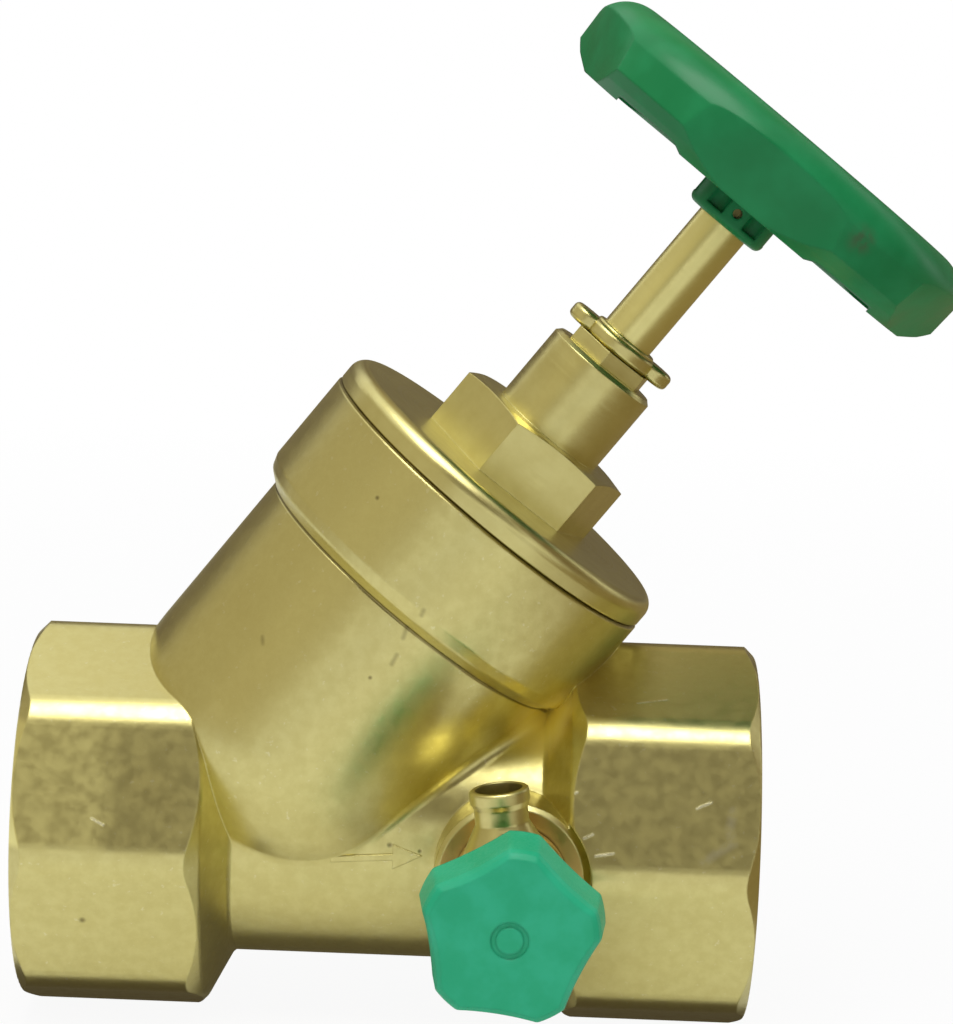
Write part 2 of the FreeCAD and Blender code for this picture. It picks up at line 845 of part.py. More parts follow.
def spout():
    """Upright outlet of the drain cock with a flared foot and a lip round its mouth."""
    tube = turned([
        (0, 0),
        (spout_flare_radius, 0),
        (spout_flare_radius, spout_flare_start, edge_round),
        (spout_neck_radius, spout_flare_start + spout_flare_height, edge_round),
        (spout_neck_radius, spout_reach - spout_lip_height - spout_lip_slope, edge_round),
        (spout_lip_radius, spout_reach - spout_lip_height, fine_round),
        (spout_lip_radius, spout_reach, fine_round),
        (0, spout_reach),
    ])
    return stand_spout(tube)


def stand_spout(shape):
    shape.rotate(point(0, 0, 0), point(1, 0, 0), -90)
    shape.rotate(point(0, 0, 0), AXIS, spout_lean)
    shape.translate(point(0, 0, spout_height))
    return shape


def drain_body():
    """Barrel of the drain cock: threaded shank, flange, seat, chamber and spout."""
    shank_bottom = drain_boss_height - drain_thread_length
    solid = turned([
        (0, shank_bottom),
        (drain_thread_radius, shank_bottom, fine_round),
        (drain_thread_radius, drain_shoulder),
        (drain_flange_radius, drain_shoulder),
        (drain_flange_radius, drain_barrel_start, fine_round),
        (drain_barrel_radius, drain_barrel_start, fine_round),
        (drain_barrel_radius, drain_barrel_end, fine_round),
        (0, drain_barrel_end),
    ])
    solid = solid.fuse(spout())
    solid = solid.cut(turned([
        (0, shank_bottom - overcut),
        (drain_inlet_radius, shank_bottom - overcut),
        (drain_inlet_radius, drain_seat),
        (drain_chamber_radius, drain_seat),
        (drain_chamber_radius, drain_barrel_end + overcut),
        (0, drain_barrel_end + overcut),
    ]))
    bore = rod(spout_bore_radius, drain_chamber_radius / 2, spout_reach + overcut)
    return on_drain(solid.cut(stand_spout(bore)))


def drain_body_seal():
    inner = drain_thread_radius + 2 * thread_clearance
    outer = drain_flange_radius - drain_seal_inset
    return on_drain(ring(inner, outer, drain_boss_height, drain_shoulder))


def drain_gland():
    """Guide nut that closes the drain cock's barrel."""
    radius = drain_chamber_radius - thread_clearance
    solid = rod(radius, drain_gland_bottom, drain_barrel_end)
    solid = solid.fuse(hex_block(drain_gland_across, drain_barrel_end, drain_gland_end, 90))
    solid = solid.cut(rod(drain_stem_radius + running_clearance, 0, 2 * knob_front))
    groove = drain_stem_radius + o_ring_squeeze * o_ring_section
    height = drain_o_ring_height()
    return on_drain(solid.cut(rod(groove, height - groove_play, height + o_ring_section + groove_play)))


def drain_o_ring_height():
    return drain_barrel_end - drain_o_ring_inset


def drain_o_ring():
    return on_drain(o_ring(drain_stem_radius, drain_o_ring_height()))


def drain_plunger():
    """Plunger that carries the drain seal; the screw end of the drain stem moves it in and out."""
    solid = turned([
        (0, plunger_bottom),
        (plunger_radius, plunger_bottom),
        (plunger_radius, plunger_top, fine_round),
        (0, plunger_top),
    ])
    socket = drain_stem_tip_radius + running_clearance
    return on_drain(solid.cut(rod(socket, plunger_socket, plunger_top + overcut)))


def drain_seal():
    return on_drain(rod(drain_washer_radius, drain_washer_face, plunger_bottom))


def drain_stem():
    """Drain stem with a screw end for the plunger, a collar under the gland and a square end."""
    square_top = knob_back + knob_socket_depth - seat_clearance
    solid = turned([
        (0, drain_tip_bottom),
        (drain_stem_tip_radius, drain_tip_bottom),
        (drain_stem_tip_radius, drain_collar_bottom),
        (drain_stem_collar_radius, drain_collar_bottom),
        (drain_stem_collar_radius, drain_collar_top),
        (drain_stem_radius, drain_collar_top),
        (drain_stem_radius, knob_back),
        (0, knob_back),
    ])
    square = prism(polygon_corners(4, knob_socket_across, 45), knob_back - overcut, square_top)
    return on_drain(solid.fuse(square.common(rod(drain_stem_radius, knob_back - overcut, square_top))))


def drain_knob():
    """Five-lobed knob, slightly drafted, with a broad bevel towards its flat face."""
    levels = [
        (0.0, knob_back),
        (knob_draft, knob_front - knob_bevel),
        (knob_draft + knob_bevel_crown * knob_bevel_inset, knob_front - knob_bevel_crown * knob_bevel),
        (knob_draft + knob_bevel_inset, knob_front),
    ]
    wires = []
    for inset, height in levels:
        reach = knob_radius - inset
        waist = knob_waist_radius - inset
        wires.append(lobed_outline(knob_lobes, reach, knob_lobe_angle, waist, knob_lobe_round,
                                   knob_turn_angle, height))
    solid = Part.makeLoft(wires, True, True)
    across = knob_socket_across + 2 * drive_clearance
    socket = prism(polygon_corners(4, across, 45), knob_back - overcut, knob_back + knob_socket_depth)
    ring_inner = knob_ring_radius - knob_ring_width
    groove = ring(ring_inner, knob_ring_radius, knob_front - knob_ring_depth, knob_front + overcut)
    return on_drain(solid.cut(socket).cut(groove))


lower_o_ring, upper_o_ring = o_ring_heights()
pieces = {
    "valve_body": valve_body(),
    "bonnet": bonnet(),
    "bonnet_seal": bonnet_seal(),
    "gland_nut": gland_nut(),
    "gland_plate": gland_plate(),
    "stem_o_ring_lower": stem_o_ring(lower_o_ring),
    "stem_o_ring_upper": stem_o_ring(upper_o_ring),
    "stem": stem(),
    "disc": disc(),
    "disc_snap_ring": snap_ring(),
    "disc_seal": disc_seal(),
    "disc_washer": disc_washer(),
    "disc_nut": disc_nut(),
    "handwheel": handwheel(),
    "handwheel_washer": handwheel_washer(),
    "handwheel_screw": handwheel_screw(),
    "drain_body": drain_body(),
    "drain_body_seal": drain_body_seal(),
    "drain_gland": drain_gland(),
    "drain_o_ring": drain_o_ring(),
    "drain_plunger": drain_plunger(),
    "drain_seal": drain_seal(),
    "drain_stem": drain_stem(),
    "drain_knob": drain_knob(),
}
for name, shape in pieces.items():
    if shape.ShapeType == "Compound" and len(shape.Solids) == 1:
        shape = shape.Solids[0]
    shape.exportStep("parts/" + name + ".step")
    print(name, shape.ShapeType, len(shape.Solids), shape.isValid(), round(shape.Volume / 1000, 2), "cm3")
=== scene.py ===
import bmesh
import bpy
import math
from mathutils import Matrix, Vector


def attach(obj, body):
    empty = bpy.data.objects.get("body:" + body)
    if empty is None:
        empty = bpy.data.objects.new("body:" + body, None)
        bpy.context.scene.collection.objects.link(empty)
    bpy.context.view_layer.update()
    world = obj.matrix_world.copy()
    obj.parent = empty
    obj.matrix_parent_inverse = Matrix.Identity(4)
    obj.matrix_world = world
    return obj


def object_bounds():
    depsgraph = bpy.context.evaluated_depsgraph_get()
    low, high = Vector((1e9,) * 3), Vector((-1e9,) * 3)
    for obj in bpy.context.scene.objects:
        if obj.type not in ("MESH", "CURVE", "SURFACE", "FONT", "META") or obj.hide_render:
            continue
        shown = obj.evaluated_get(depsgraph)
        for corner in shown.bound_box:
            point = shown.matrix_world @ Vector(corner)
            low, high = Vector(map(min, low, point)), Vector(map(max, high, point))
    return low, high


# Isolating valve in brass with a green handwheel and a small drain cock. Metres; the drain cock points to -Y.

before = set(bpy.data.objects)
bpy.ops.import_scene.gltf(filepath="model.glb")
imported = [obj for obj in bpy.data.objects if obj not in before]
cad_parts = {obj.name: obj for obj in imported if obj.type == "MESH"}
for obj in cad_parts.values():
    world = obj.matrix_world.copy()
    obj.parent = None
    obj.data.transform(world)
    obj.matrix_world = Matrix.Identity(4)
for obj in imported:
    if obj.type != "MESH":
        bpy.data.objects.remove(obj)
cad_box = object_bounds()
MM = 0.001

# Sizes of the valve that the finishes and the small pieces follow
BODY_LENGTH = 150.0 * MM
TUBE_RADIUS = 27.6 * MM
PIPE_AXIS = Vector((1, 0, 0))
BRANCH_ANGLE = math.radians(52.2)
BRANCH_FOOT = Vector((39.3 * MM, 0, 0))
BRANCH_AXIS = Vector((math.cos(BRANCH_ANGLE), 0, math.sin(BRANCH_ANGLE)))
COLLAR_FOOT = 62.8 * MM
COLLAR_REACH = 37.3 * MM
LID_SEAM = 88.0 * MM
LID_REACH = 41.0 * MM
DRAIN_FOOT = Vector((100.4 * MM, 0, -1.0 * MM))
DRAIN_AXIS = Vector((0, -1, 0))
DRAIN_BOSS_HEIGHT = 37.0 * MM
DRAIN_BOSS_RIM = 14.6 * MM

# Pipe threads; the widths of the ridge are shares of the pitch
THREAD_ROOT = 29.85 * MM
THREAD_CREST = 28.33 * MM
THREAD_PITCH = 2.309 * MM
THREAD_FLANK_SHARE = 0.5
THREAD_LAND_SHARE = 0.12
THREAD_TURNS = 9
THREAD_STEPS_PER_TURN = 72

# Flow arrow on the front of the tube; its turn is the angle of its start below the horizontal, in radians
ARROW_START = 63.8 * MM
ARROW_NECK = 76.4 * MM
ARROW_TIP = 82.4 * MM
ARROW_TURN = 0.027
ARROW_RISE = 1.35 * MM
ARROW_SHAFT_HALF = 0.65 * MM
ARROW_HEAD_HALF = 2.6 * MM
ARROW_HEIGHT = 0.35 * MM
ARROW_SINK = 0.2 * MM

MERGE_DISTANCE = 0.0005 * MM

# Places of marks, in millimetres: pits (place, radius), nicks and scratches (start, end), a smear (its bends)
BODY_PITS = [
    ((14.8, -35.8, -13.1), 1.0), ((75.8, -27.5, 2.6), 0.8), ((82.0, -27.6, 1.6), 0.6),
    ((71.1, -36.4, 39.0), 0.6), ((71.3, -34.3, 74.7), 0.7),
]
BODY_NICKS = [
    ((49.0, -30.6, 45.2), (49.4, -30.8, 43.8)), ((81.3, -39.9, 53.7), (80.9, -39.8, 52.6)),
    ((78.0, -36.4, 49.4), (77.4, -36.4, 47.3)), ((76.2, -36.3, 43.8), (75.3, -36.3, 41.9)),
]
BODY_SCRATCHES = [
    ((112.6, -34.4, 16.6), (113.0, -34.3, 16.7)), ((114.7, -37.8, 8.3), (116.4, -37.5, 9.1)),
    ((117.1, -39.1, 5.1), (120.6, -38.9, 5.7)), ((137.0, -35.2, 14.6), (139.8, -34.7, 15.8)),
    ((16.5, -37.7, 8.5), (18.9, -38.2, 7.4)), ((124.9, -21.1, 32.5), (131.0, -19.7, 33.1)),
]
BODY_SMEAR = [
    (144.3, -35.3, 14.3), (143.6, -36.7, 10.9), (144.3, -37.8, 8.3), (140.9, -38.6, 6.3), (138.6, -39.3, 4.6),
]
# Centre of the painted reflection in the crotch, in millimetres
PAINTED_CROTCH_REFLECTION_PLACE = (107.5, -14.0, 27.5)
WHEEL_SMUDGE_PLACE = (162.7, -43.8, 129.6)
PIN_PLACE = (141.3, -4.0, 131.3)

# Sizes of marks and of painted light; a spot's core is the share of its radius that is fully marked
SPOT_CORE = 0.1
SCRATCH_WIDTH = 0.5 * MM
NICK_WIDTH = 0.8 * MM
SMEAR_WIDTH = 1.5 * MM
PAINTED_CROTCH_REFLECTION_RADIUS = 13.0 * MM
WHEEL_SMUDGE_RADIUS = 4.2 * MM
PIN_RADIUS = 2.4 * MM
CREASE_CORE = 0.1 * MM
CREASE_HALF = 0.5 * MM
CREASE_END = 0.8 * MM
# Extent of the painted sheen on the outer part of the inlet's front flat
PAINTED_SHEEN_REACH = 19.5 * MM
PAINTED_SHEEN_BOTTOM = 1.5 * MM
PAINTED_SHEEN_TOP = 27.0 * MM
PAINTED_SHEEN_EDGE = 2 * MM
PAINTED_SHEEN_RAGGED = 3 * MM
FRONT_FLATS_FULL = -28 * MM
FRONT_FLATS_END = -24 * MM
FACE_SKIN_FULL = 0.1 * MM
END_FACE_SKIN = 0.25 * MM
BOSS_FACE_SKIN = 0.3 * MM
BOSS_RIM_EDGE = 0.4 * MM

# Strength of marks and of painted light, as shares of the full colour; the painted crotch reflection's is how
# metallic it stays
PAINTED_GLINT_SHARE = 0.3
STAIN_SHARE = 0.25
PAINTED_SHEEN_SHARE = 0.75
PAINTED_CREASE_SHADE_SHARE = 0.75
TURNED_PAINTED_SHADE_SHARE = 0.8
PIT_SHARE = 0.65
NICK_SHARE = 0.55
STEM_POLISH = 0.5
PAINTED_CROTCH_REFLECTION_METALLIC = 0.1

# Colours, linear
BRASS_BRIGHT = (0.69, 0.625, 0.26, 1)
BRASS_DULL = (0.64, 0.57, 0.225, 1)
BRASS_STAIN = (0.50, 0.40, 0.13, 1)
BRASS_PAINTED_BOSS_SHADE = (0.62, 0.40, 0.13, 1)
BRASS_PAINTED_CREASE_SHADE = (0.16, 0.12, 0.04, 1)
BRASS_POLISH_AND_SHEEN = (0.98, 0.90, 0.37, 1)
BRASS_PAINTED_REFLECTION_GOLD = (0.95, 0.79, 0.14, 1)
BRASS_SCRATCH_AND_GLINT = (0.88, 0.84, 0.58, 1)
PIT_BROWN = (0.10, 0.07, 0.03, 1)
WHEEL_GREEN = (0.003, 0.175, 0.048, 1)
WHEEL_GREEN_PALE = (0.007, 0.220, 0.068, 1)
WHEEL_SMUDGE = (0.070, 0.062, 0.036, 1)
KNOB_GREEN = (0.006, 0.390, 0.185, 1)
KNOB_GREEN_PALE = (0.016, 0.440, 0.230, 1)
RUBBER_BLACK = (0.012, 0.012, 0.012, 1)
RUBBER_BLOOM = (0.035, 0.034, 0.032, 1)
STEEL_GREY = (0.56, 0.56, 0.54, 1)
STEEL_BLOOM = (0.40, 0.41, 0.42, 1)
WHITE = (1, 1, 1, 1)
FLOOR_GREY = (0.9, 0.9, 0.9, 1)

# Most values of a noise pattern lie between these two
NOISE_LOW = 0.3
NOISE_HIGH = 0.7
EDGE_SAMPLES = 4
# Numbers of the colour sockets of a Mix node
MIX_FIRST = 6
MIX_SECOND = 7
MIX_RESULT = 2

# Studio: the camera, the light of the white background, the floor and one soft lamp
CAMERA_PLACE = Vector((95.81, -674.22, 178.20)) * MM
CAMERA_TARGET = Vector((90.66, 0.0, 66.99)) * MM
CAMERA_ROLL = math.radians(2.08)
CAMERA_LENS = 115.86
SENSOR_WIDTH = 36.0
WORLD_FILL = 0.5
FLOOR_LEVEL = cad_box[0][2]
FLOOR_HALF = 6.0
FLOOR_WHITE = 0.93
FLOOR_WHITE_MIRRORED = 0.05
FLOOR_NEAR = 0.25
FLOOR_FAR = 0.9
LAMP_PLACE = Vector((0.06, -0.28, 0.82))
LAMP_SIZE = 0.55
LAMP_RADIANCE = 4.6

# Cards that shape the reflections. Round the valve: azimuth and elevation in degrees, width, height, tone.
# On the floor: x, y, height over the floor, width, depth, tone.
CARD_DISTANCE = 1.3
UNIT_SQUARE_HALF = 0.5
LOW_TONE = (0.28, 0.22, 0.12)
PAINTED_SHADOW_TONE = (0.10, 0.085, 0.055)
PAINTED_SHADOW_END_TONE = (0.085, 0.07, 0.048)
CARDS_ROUND_VALVE = [
    ("front_flag", 10, 35, 1.7, 1.0, (0.115, 0.09, 0.05)),
    ("front_left_flag", -42, 22, 0.8, 1.2, (0.56, 0.51, 0.38)),
    ("left_flag", -92, 18, 1.5, 1.3, (0.50, 0.45, 0.33)),
    ("rear_flag", 180, 14, 3.6, 0.85, (0.15, 0.12, 0.09)),
    ("right_flag", 85, 20, 1.2, 1.3, (0.18, 0.13, 0.07)),
    ("upper_flag", 153, 50, 1.1, 0.8, (0.40, 0.33, 0.20)),
]
CARDS_ON_FLOOR = [
    ("low_flag", 0.72, 0.45, 2 * MM, 1.04, 1.5, LOW_TONE),
    ("low_rear_flag", 0.18, 0.34, 2 * MM, 0.04, 0.6, LOW_TONE),
    # Painted shadow: dark cards under the valve put its contact shadow into the reflections of its lower
    # edges.
    ("painted_shadow_flag", 0.075, 0.052, 1 * MM, 0.07, 0.136, PAINTED_SHADOW_TONE),
    ("painted_shadow_inlet_flag", 0.012, 0.044, 1 * MM, 0.054, 0.152, PAINTED_SHADOW_END_TONE),
    ("painted_shadow_outlet_flag", 0.134, 0.044, 1 * MM, 0.046, 0.152, PAINTED_SHADOW_END_TONE),
]


# Small helpers for nodes, objects and meshes

def feed(tree, socket, value):
    """Sets a socket to a plain value, or links another node's output to it."""
    if isinstance(value, bpy.types.NodeSocket):
        tree.links.new(value, socket)
    else:
        socket.default_value = value


def add_node(tree, kind, sockets=None, **settings):
    """New node; sockets maps input names or numbers to plain values or to outputs to be linked."""
    made = tree.nodes.new(kind)
    for name, value in settings.items():
        setattr(made, name, value)
    for key, value in (sockets or {}).items():
        feed(tree, made.inputs[key], value)
    return made


def add_object(name, data):
    """New object in the scene."""
    made = bpy.data.objects.new(name, data)
    bpy.context.scene.collection.objects.link(made)
    return made


def mesh_data(name, mesh, material):
    """Mesh data with one material from a bmesh, which is used up."""
    data = bpy.data.meshes.new(name)
    mesh.to_mesh(data)
    mesh.free()
    data.materials.append(material)
    return data


def aimed(place, direction, front):
    """Matrix that stands at a place with its front axis turned in a direction."""
    return Matrix.Translation(place) @ direction.to_track_quat(front, "Y").to_matrix().to_4x4()


# Finishes

class Finish:
    """One procedural finish: a metal or plastic shader and the patterns that feed it."""

    def __init__(self, name):
        self.material = bpy.data.materials.new(name)
        self.material.use_nodes = True
        self.tree = self.material.node_tree
        self.shader = self.tree.nodes["Principled BSDF"]
        self.place = self.node("ShaderNodeTexCoord").outputs["Object"]
        self.height = None

    def node(self, kind, sockets=None, **settings):
        return add_node(self.tree, kind, sockets, **settings)

    def math(self, operation, first, second=0.0):
        return self.node("ShaderNodeMath", {0: first, 1: second}, operation=operation).outputs[0]

    def times(self, first, second):
        return self.math("MULTIPLY", first, second)

    def vector(self, operation, first, second=(0, 0, 0)):
        made = self.node("ShaderNodeVectorMath", {0: first, 1: second}, operation=operation)
        gives_number = operation in ("DOT_PRODUCT", "DISTANCE", "LENGTH")
        return made.outputs["Value" if gives_number else "Vector"]

    def parts(self, place):
        """Outputs X, Y and Z of a place."""
        return self.node("ShaderNodeSeparateXYZ", {0: place}).outputs

    def noise(self, size, detail=3.0, roughness=0.55, place=None):
        """Cloudy pattern from 0 to 1 whose patches are about one size across."""
        sockets = {"Vector": place or self.place, "Scale": 1 / size, "Detail": detail, "Roughness": roughness}
        return self.node("ShaderNodeTexNoise", sockets).outputs["Fac"]

    def ramp(self, value, low, high, out_low=0.0, out_high=1.0):
        """Value between low and high spread smoothly from out_low to out_high."""
        sockets = {"Value": value, "From Min": low, "From Max": high, "To Min": out_low, "To Max": out_high}
        return self.node("ShaderNodeMapRange", sockets, interpolation_type="SMOOTHSTEP").outputs["Result"]

    def fade(self, value, start, end):
        """1 below the start, falling smoothly to 0 at the end."""
        return self.ramp(value, start, end, 1.0, 0.0)

    def spread(self, pattern, out_low=0.0, out_high=1.0):
        """The usual values of a noise pattern spread from out_low to out_high."""
        return self.ramp(pattern, NOISE_LOW, NOISE_HIGH, out_low, out_high)

    def mix(self, share, first, second):
        """First colour with a share of the second."""
        sockets = {"Factor": share, MIX_FIRST: first, MIX_SECOND: second}
        return self.node("ShaderNodeMix", sockets, data_type="RGBA").outputs[MIX_RESULT]

    def either(self, masks):
        """Strongest of several masks."""
        strongest = masks[0]
        for mask in masks[1:]:
            strongest = self.math("MAXIMUM", strongest, mask)
        return strongest

    def raise_surface(self, value, depth):
        """Adds a relief of the given depth to the surface."""
        scaled = self.times(value, depth)
        self.height = scaled if self.height is None else self.math("ADD", self.height, scaled)

    def axis_place(self, foot, axis):
        """Coordinates (distance from an axis, height along it), for lines that run round the axis."""
        offset = self.vector("SUBTRACT", self.place, foot)
        along = self.vector("DOT_PRODUCT", offset, axis)
        radius = self.vector("LENGTH", self.vector("CROSS_PRODUCT", offset, axis))
        return self.node("ShaderNodeCombineXYZ", {"X": radius, "Y": along}).outputs["Vector"]

    def lathe_lines(self, size, foot, axis):
        """Lines that run round an axis, as a lathe leaves them."""
        return self.noise(size, detail=2.0, roughness=0.5, place=self.axis_place(foot, axis))

    def spot(self, centre, radius):
        """1 within a small round mark (centre in millimetres), fading to 0 at its radius."""
        away = self.vector("DISTANCE", self.place, Vector(centre) * MM)
        return self.fade(away, SPOT_CORE * radius, radius)

    def scratch(self, start, end, width):
        """1 along a straight scratch (ends in millimetres), fading to 0 at its width."""
        start = Vector(start) * MM
        along = Vector(end) * MM - start
        offset = self.vector("SUBTRACT", self.place, start)
        share = self.vector("DOT_PRODUCT", offset, along / along.length_squared)
        share = self.math("MINIMUM", self.math("MAXIMUM", share, 0.0), 1.0)
        foot = self.node("ShaderNodeVectorMath", {0: tuple(along), "Scale": share}, operation="SCALE")
        return self.fade(self.vector("DISTANCE", offset, foot.outputs["Vector"]), 0.0, width)

    def scratches(self, lines, width):
        """1 along any of several scratches of one width."""
        return self.either([self.scratch(start, end, width) for start, end in lines])

    def done(self, colour, roughness, edge_radius):
        """Links colour, roughness, relief and softened edges to the shader."""
        edge = self.node("ShaderNodeBevel", {"Radius": edge_radius}, samples=EDGE_SAMPLES).outputs["Normal"]
        relief = {"Strength": 1.0, "Distance": 1.0, "Height": self.height, "Normal": edge}
        bump = self.node("ShaderNodeBump", relief).outputs["Normal"]
        for name, value in (("Base Color", colour), ("Roughness", roughness), ("Normal", bump)):
            feed(self.tree, self.shader.inputs[name], value)
        return self.material


def painted_sheen_flat(finish, mottle):
    """Share of painted sheen, a brighter reflection, on the outer part of the inlet's front flat, with a
    ragged edge.
    """
    place = finish.parts(finish.place)
    edge = finish.math("ADD", place["X"], finish.times(mottle, PAINTED_SHEEN_RAGGED))
    outer = finish.ramp(edge, PAINTED_SHEEN_REACH - PAINTED_SHEEN_EDGE, PAINTED_SHEEN_REACH + 2 * PAINTED_SHEEN_EDGE, PAINTED_SHEEN_SHARE, 0.0)
    front = finish.fade(place["Y"], FRONT_FLATS_FULL, FRONT_FLATS_END)
    low = finish.ramp(place["Z"], PAINTED_SHEEN_BOTTOM, PAINTED_SHEEN_BOTTOM + PAINTED_SHEEN_EDGE)
    high = finish.fade(place["Z"], PAINTED_SHEEN_TOP - PAINTED_SHEEN_EDGE, PAINTED_SHEEN_TOP)
    return finish.times(finish.times(outer, front), finish.times(low, high))


def branch_crease(finish, height, reach):
    """1 along a narrow crease round the branch, at one height of its axis and out to a reach from it; it
    carries painted shade, and on the body a shallow groove too.
    """
    place = finish.parts(finish.axis_place(BRANCH_FOOT, BRANCH_AXIS))
    away = finish.math("ABSOLUTE", finish.math("SUBTRACT", place["Y"], height))
    near = finish.fade(away, CREASE_CORE, CREASE_HALF)
    within = finish.fade(place["X"], reach, reach + CREASE_END)
    return finish.times(near, within)


def lid_seam(finish):
    """1 along the seam between the lid and the collar, where painted shade darkens the colour."""
    return branch_crease(finish, LID_SEAM, LID_REACH)


def pin_shade(finish):
    """1 on the stem where the wheel's pin hole meets it, where painted shade darkens the colour."""
    return finish.spot(PIN_PLACE, PIN_RADIUS)


def end_faces(finish):
    """1 on the two machined end faces of the body."""
    along = finish.parts(finish.place)["X"]
    inlet = finish.fade(along, FACE_SKIN_FULL, END_FACE_SKIN)
    outlet = finish.ramp(along, BODY_LENGTH - END_FACE_SKIN, BODY_LENGTH - FACE_SKIN_FULL)
    return finish.math("MAXIMUM", inlet, outlet)


def drain_boss_shade(finish):
    """1 on the flat face of the drain boss inside its bright rim, which gets a brown painted shade."""
    place = finish.parts(finish.axis_place(DRAIN_FOOT, DRAIN_AXIS))
    inside = finish.fade(place["X"], DRAIN_BOSS_RIM - BOSS_RIM_EDGE, DRAIN_BOSS_RIM)
    above = finish.ramp(place["Y"], DRAIN_BOSS_HEIGHT - BOSS_FACE_SKIN, DRAIN_BOSS_HEIGHT - FACE_SKIN_FULL)
    return finish.times(inside, above)


def forged_brass():
    """Satin forging: fine grain, mottling, pale specks of painted glint, pits, nicks, scratches, a brown
    painted shade on the drain boss face, painted shade in the creases, and painted reflection on the inlet's
    front flat and in the crotch.
    """
    finish = Finish("forged_brass")
    grain = finish.noise(size=0.5 * MM, detail=2.0)
    mottle = finish.noise(size=2.8 * MM, detail=4.0, roughness=0.6)
    cloud = finish.noise(size=26 * MM, detail=2.0)
    # Painted glints: pale specks over the grain stand in for small highlights; the same pale colour marks the
    # smear and the scratches.
    painted_glint = finish.ramp(finish.noise(size=1.3 * MM), 0.64, 0.74)
    colour = finish.mix(finish.ramp(mottle, 0.3, 0.72), BRASS_DULL, BRASS_BRIGHT)
    colour = finish.mix(finish.ramp(cloud, 0.5, 0.85, out_high=STAIN_SHARE), colour, BRASS_STAIN)
    colour = finish.mix(finish.times(painted_glint, PAINTED_GLINT_SHARE), colour, BRASS_SCRATCH_AND_GLINT)
    # Painted sheen: the outer part of the inlet's front flat is lighter, in place of a brighter reflection
    # there.
    colour = finish.mix(painted_sheen_flat(finish, mottle), colour, BRASS_POLISH_AND_SHEEN)
    # Painted shade and painted dark reflection: the drain boss face is browned where the knob shades it.
    colour = finish.mix(drain_boss_shade(finish), colour, BRASS_PAINTED_BOSS_SHADE)

    # Painted reflection: a warm gold, less metallic patch in the crotch stands in for brass mirrored in
    # brass.
    painted_crotch_reflection = finish.spot(PAINTED_CROTCH_REFLECTION_PLACE, PAINTED_CROTCH_REFLECTION_RADIUS)
    colour = finish.mix(painted_crotch_reflection, colour, BRASS_PAINTED_REFLECTION_GOLD)
    metallic = finish.ramp(painted_crotch_reflection, 0.0, 1.0, out_low=1.0, out_high=PAINTED_CROTCH_REFLECTION_METALLIC)
    feed(finish.tree, finish.shader.inputs["Metallic"], metallic)

    crease = finish.either([branch_crease(finish, COLLAR_FOOT, COLLAR_REACH), lid_seam(finish)])
    # Painted shade: the crease at the collar foot and the lid seam are darkened in colour, on top of their
    # shallow groove.
    colour = finish.mix(finish.times(crease, PAINTED_CREASE_SHADE_SHARE), colour, BRASS_PAINTED_CREASE_SHADE)
    smear = finish.scratches(zip(BODY_SMEAR, BODY_SMEAR[1:]), SMEAR_WIDTH)
    smear = finish.times(smear, finish.ramp(mottle, 0.35, 0.6, out_low=0.1, out_high=0.5))
    colour = finish.mix(smear, colour, BRASS_SCRATCH_AND_GLINT)
    scratched = finish.times(finish.scratches(BODY_SCRATCHES, SCRATCH_WIDTH), finish.ramp(grain, 0.25, 0.55))
    colour = finish.mix(scratched, colour, BRASS_SCRATCH_AND_GLINT)
    pits = [finish.spot(place, radius * MM) for place, radius in BODY_PITS]
    nicks = finish.times(finish.scratches(BODY_NICKS, NICK_WIDTH), NICK_SHARE)
    pitted = finish.either(pits + [nicks])
    colour = finish.mix(finish.times(pitted, PIT_SHARE), colour, PIT_BROWN)

    rings = finish.times(end_faces(finish), finish.lathe_lines(0.4 * MM, Vector(), PIPE_AXIS))
    finish.raise_surface(crease, depth=-0.1 * MM)
    finish.raise_surface(rings, depth=0.012 * MM)
    finish.raise_surface(grain, depth=0.006 * MM)
    finish.raise_surface(mottle, depth=0.024 * MM)
    finish.raise_surface(scratched, depth=0.04 * MM)
    finish.raise_surface(pitted, depth=-0.05 * MM)
    roughness = finish.spread(mottle, out_low=0.36, out_high=0.29)
    return finish.done(colour, roughness, edge_radius=0.5 * MM)


def turned_brass(name, foot, axis, polish=0.0, dark=None):
    """Lathe-turned brass: fine lines round the axis, light mottling and places of painted shade, given as a
    function that makes their mask; polish is the share of brighter metal."""
    finish = Finish(name)
    finish.shader.inputs["Metallic"].default_value = 1.0
    lines = finish.lathe_lines(0.35 * MM, foot, axis)
    bands = finish.lathe_lines(2.2 * MM, foot, axis)
    mottle = finish.noise(size=5 * MM)
    colour = finish.mix(finish.spread(mottle), BRASS_DULL, BRASS_BRIGHT)
    colour = finish.mix(finish.ramp(bands, 0.5, 0.75, out_high=0.3), colour, BRASS_DULL)
    colour = finish.mix(polish, colour, BRASS_POLISH_AND_SHEEN)
    if dark:
        # Painted shade where the dark mask falls: the lid seam on the bonnet, the pin hole on the stem.
        colour = finish.mix(finish.times(dark(finish), TURNED_PAINTED_SHADE_SHARE), colour, BRASS_PAINTED_CREASE_SHADE)
    finish.raise_surface(lines, depth=0.0015 * MM)
    finish.raise_surface(mottle, depth=0.02 * MM)
    roughness = finish.spread(lines, out_low=0.29, out_high=0.36)
    return finish.done(colour, roughness, edge_radius=0.35 * MM)


